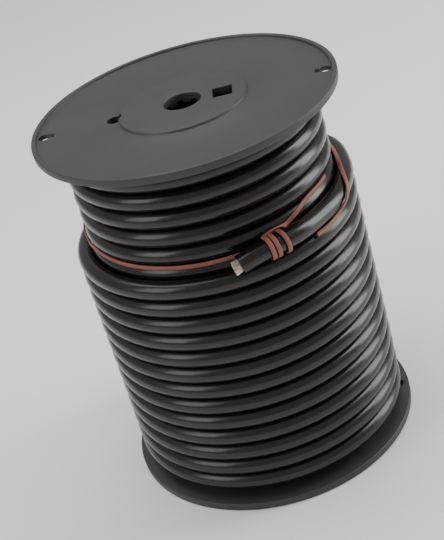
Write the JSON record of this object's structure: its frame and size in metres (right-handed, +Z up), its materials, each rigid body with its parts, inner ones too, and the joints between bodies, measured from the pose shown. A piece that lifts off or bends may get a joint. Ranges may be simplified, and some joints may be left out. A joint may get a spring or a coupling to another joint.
{
  "type": "cable reel",
  "caption": "Plastic reel standing on one flange, wound in nested layers with thick black single-core cable whose stripped end is lashed down with a flat band.",
  "frame": {"origin": "centre of the reel's footprint on the floor, under the spindle bore", "axes": "+Z up along the reel's axis; the flange holes lie along X, the round drive hole towards -X and the square window towards +X; the cable's cut end faces -Y"},
  "size_m": [0.165, 0.165, 0.2118],
  "materials": {
    "reel_plastic": "satin moulded black-grey plastic",
    "barrel_plastic": "satin extruded black plastic",
    "cable_jacket": "smooth semi-gloss black jacket",
    "bare_strands": "bright stranded copper, freshly cut",
    "tie_band": "matt reddish-brown rubber"
  },
  "bodies": {
    "root": {"flange_bottom": "reel_plastic", "flange_top": "reel_plastic", "barrel": "barrel_plastic", "cable": "cable_jacket", "conductor": "bare_strands", "tie_band": "tie_band"}
  },
  "joints": []
}
